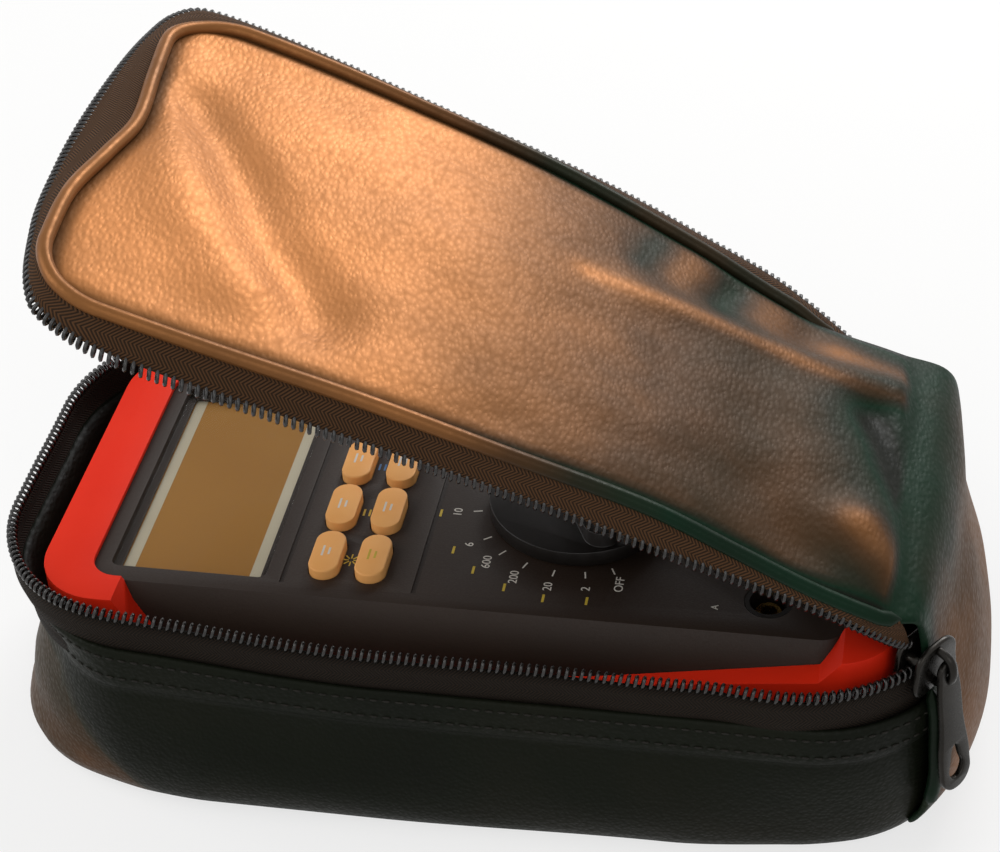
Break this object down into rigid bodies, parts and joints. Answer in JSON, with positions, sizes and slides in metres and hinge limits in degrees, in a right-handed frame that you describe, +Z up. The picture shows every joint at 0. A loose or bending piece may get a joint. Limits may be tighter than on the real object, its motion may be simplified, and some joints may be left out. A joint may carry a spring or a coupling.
{
  "type": "zip case with handheld multimeter",
  "caption": "Handheld digital multimeter in a rubber holster, lying in a soft leather zip case whose hinged lid stands ajar, with pill keys, rotary selector and input jacks.",
  "frame": {"origin": "under the middle of the tray, on the surface it stands on", "axes": "+X towards the hinge end of the case, +Y away from the zipper slider's side, +Z up"},
  "size_m": [0.234, 0.123, 0.1603],
  "materials": {
    "case_leather": "pebbled leatherette with a bronze sheen",
    "piping_leather": "smooth sewn cord",
    "tape_fabric": "herringbone woven tape",
    "coil_nylon": "black nylon coil",
    "zipper_metal": "dark lacquered zinc",
    "lining_fabric": "felted lining",
    "stiffener": "fibre board",
    "holster_rubber": "moulded red rubber",
    "cover_plastic": "fine textured moulding",
    "knob_plastic": "moulded",
    "window_clear": "clear acrylic",
    "lcd_glass": "grey-green display",
    "display_plastic": "white moulding",
    "connector_rubber": "layered rubber",
    "key_rubber": "tan moulded keys",
    "pointer_white": "white inlay",
    "board_laminate": "green laminate",
    "black_resin": "moulded resin",
    "contact_brass": "plated brass",
    "shroud_plastic": "moulded ring",
    "fuse_glass": "ceramic tube",
    "battery_case": "printed jacket",
    "screw_steel": "plated"
  },
  "bodies": {
    "base": {"case_tray": "case_leather", "case_end_panel": "case_leather", "hinge_fold": "case_leather", "end_seam_welts": "piping_leather", "base_zipper_tape": "tape_fabric", "base_zipper_coil": "coil_nylon", "bottom_board": "stiffener", "holster": "holster_rubber", "front_cover": "cover_plastic", "rear_cover": "cover_plastic", "battery_door": "cover_plastic", "display_window": "window_clear", "lcd_panel": "lcd_glass", "lcd_frame": "display_plastic", "backlight_panel": "display_plastic", "zebra_strips": "connector_rubber", "keypad_mat": "connector_rubber", "circuit_board": "board_laminate", "measuring_chip": "black_resin", "buzzer": "black_resin", "battery_terminals": "black_resin", "input_jack_1": "contact_brass", "input_jack_2": "contact_brass", "input_jack_3": "contact_brass", "input_jack_4": "contact_brass", "fuse_clips": "contact_brass", "current_shunt": "contact_brass", "jack_shrouds": "shroud_plastic", "fuses": "fuse_glass", "battery": "battery_case", "cover_screws": "screw_steel", "battery_door_screw": "screw_steel"},
    "lid": {"lid_panel": "case_leather", "lid_lining": "lining_fabric", "lid_piping": "piping_leather", "lid_zipper_tape": "tape_fabric", "lid_zipper_coil": "coil_nylon"},
    "slider": {"zipper_slider": "zipper_metal"},
    "pull": {"zipper_pull": "zipper_metal"},
    "selector": {"selector_knob": "knob_plastic", "knob_pointer": "pointer_white", "selector_rotor": "black_resin", "rotor_contacts": "contact_brass"},
    "key_1": {"key_1": "key_rubber"},
    "key_2": {"key_2": "key_rubber"},
    "key_3": {"key_3": "key_rubber"},
    "key_4": {"key_4": "key_rubber"},
    "key_5": {"key_5": "key_rubber"},
    "key_6": {"key_6": "key_rubber"},
    "key_7": {"key_7": "key_rubber"},
    "key_8": {"key_8": "key_rubber"}
  },
  "joints": [
    {"name": "lid_hinge", "type": "hinge", "parent": "base", "child": "lid", "pos_m": [0.1095, 0, 0.0713], "axis": [0, 1, 0], "range_deg": [-23.5, 96.5]},
    {"name": "slider_run", "type": "hinge", "parent": "base", "child": "slider", "pos_m": [0.076, -0.019, 0.054], "axis": [0, 0, 1], "range_deg": [-48, 0]},
    {"name": "pull_swing", "type": "hinge", "parent": "slider", "child": "pull", "pos_m": [0.10885, -0.04858, 0.0563], "axis": [-0.6691, -0.7431, 0], "range_deg": [0, 150]},
    {"name": "selector_turn", "type": "hinge", "parent": "base", "child": "selector", "pos_m": [0.0232, 0, 0.057], "axis": [0, 0, 1], "range_deg": [-232, 0]},
    {"name": "key_1_press", "type": "slide", "parent": "base", "child": "key_1", "axis": [0, 0, -1], "range_m": [0, 0.0012], "stiffness_N_per_m": 400},
    {"name": "key_2_press", "type": "slide", "parent": "base", "child": "key_2", "axis": [0, 0, -1], "range_m": [0, 0.0012], "stiffness_N_per_m": 400},
    {"name": "key_3_press", "type": "slide", "parent": "base", "child": "key_3", "axis": [0, 0, -1], "range_m": [0, 0.0012], "stiffness_N_per_m": 400},
    {"name": "key_4_press", "type": "slide", "parent": "base", "child": "key_4", "axis": [0, 0, -1], "range_m": [0, 0.0012], "stiffness_N_per_m": 400},
    {"name": "key_5_press", "type": "slide", "parent": "base", "child": "key_5", "axis": [0, 0, -1], "range_m": [0, 0.0012], "stiffness_N_per_m": 400},
    {"name": "key_6_press", "type": "slide", "parent": "base", "child": "key_6", "axis": [0, 0, -1], "range_m": [0, 0.0012], "stiffness_N_per_m": 400},
    {"name": "key_7_press", "type": "slide", "parent": "base", "child": "key_7", "axis": [0, 0, -1], "range_m": [0, 0.0012], "stiffness_N_per_m": 400},
    {"name": "key_8_press", "type": "slide", "parent": "base", "child": "key_8", "axis": [0, 0, -1], "range_m": [0, 0.0012], "stiffness_N_per_m": 400}
  ]
}
